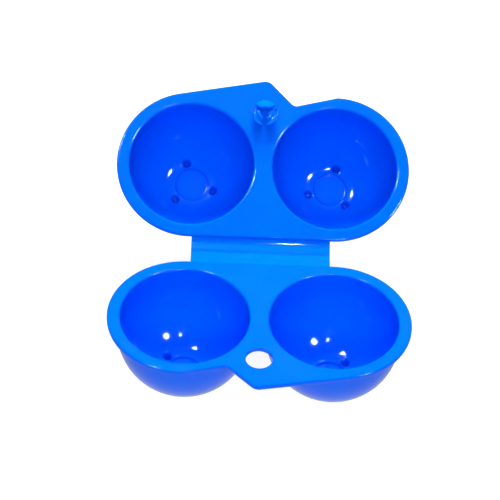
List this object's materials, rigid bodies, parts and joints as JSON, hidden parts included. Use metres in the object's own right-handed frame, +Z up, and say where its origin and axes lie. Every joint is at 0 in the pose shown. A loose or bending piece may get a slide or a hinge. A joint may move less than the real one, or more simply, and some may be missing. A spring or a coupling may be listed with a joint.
{
  "type": "egg keeper with flip lid",
  "caption": "Hinged pocket keeper: a base of round cups and a matching domed lid on a folding strap, closed by a split snap stud in a hole.",
  "frame": {"origin": "on the table, under the middle of the opened keeper's box", "axes": "+X to the right along the strap, +Y from the base's thumb tab over the strap to the lid, +Z up out of the base's cups"},
  "size_m": [0.1276, 0.1454, 0.0773],
  "materials": {
    "blue_plastic": "glossy moulded blue plastic, a little translucent where it is thin"
  },
  "bodies": {
    "base": {"base_plate": "blue_plastic", "base_cup_left": "blue_plastic", "base_cup_right": "blue_plastic", "base_fold_web": "blue_plastic"},
    "strap_base": {"strap_panel_base": "blue_plastic", "centre_fold_web": "blue_plastic"},
    "strap_lid": {"strap_panel_lid": "blue_plastic"},
    "lid": {"lid_fold_web": "blue_plastic", "lid_plate": "blue_plastic", "lid_dome_left": "blue_plastic", "lid_dome_right": "blue_plastic"},
    "prong_front": {"latch_prong_front": "blue_plastic"},
    "prong_left": {"latch_prong_left": "blue_plastic"},
    "prong_right": {"latch_prong_right": "blue_plastic"}
  },
  "joints": [
    {"name": "centre_fold", "type": "hinge", "parent": "strap_base", "child": "strap_lid", "pos_m": [0, 0.00581, 0.03438], "axis": [1, 0, 0], "range_deg": [-21.88, 101.18]},
    {"name": "base_fold", "type": "hinge", "parent": "base", "child": "strap_base", "pos_m": [0, 0.00153, 0.034], "axis": [1, 0, 0], "range_deg": [-6, 28]},
    {"name": "lid_fold", "type": "hinge", "parent": "strap_lid", "child": "lid", "pos_m": [0, 0.00964, 0.03633], "axis": [1, 0, 0], "range_deg": [-6, 28]},
    {"name": "prong_front_flex", "type": "hinge", "parent": "lid", "child": "prong_front", "pos_m": [0, 0.0593, 0.06971], "axis": [1, 0, 0], "range_deg": [0, 9], "stiffness_Nm_per_rad": 0.05},
    {"name": "prong_left_flex", "type": "hinge", "parent": "lid", "child": "prong_left", "pos_m": [-0.00139, 0.05726, 0.06844], "axis": [-0.5, 0.7344, 0.4589], "range_deg": [0, 9], "stiffness_Nm_per_rad": 0.05},
    {"name": "prong_right_flex", "type": "hinge", "parent": "lid", "child": "prong_right", "pos_m": [0.00139, 0.05726, 0.06844], "axis": [-0.5, -0.7344, -0.4589], "range_deg": [0, 9], "stiffness_Nm_per_rad": 0.05}
  ],
  "couplings": [
    {"joint": "base_fold", "follows": "centre_fold", "ratio": 0.23139},
    {"joint": "lid_fold", "follows": "centre_fold", "ratio": 0.23139}
  ]
}
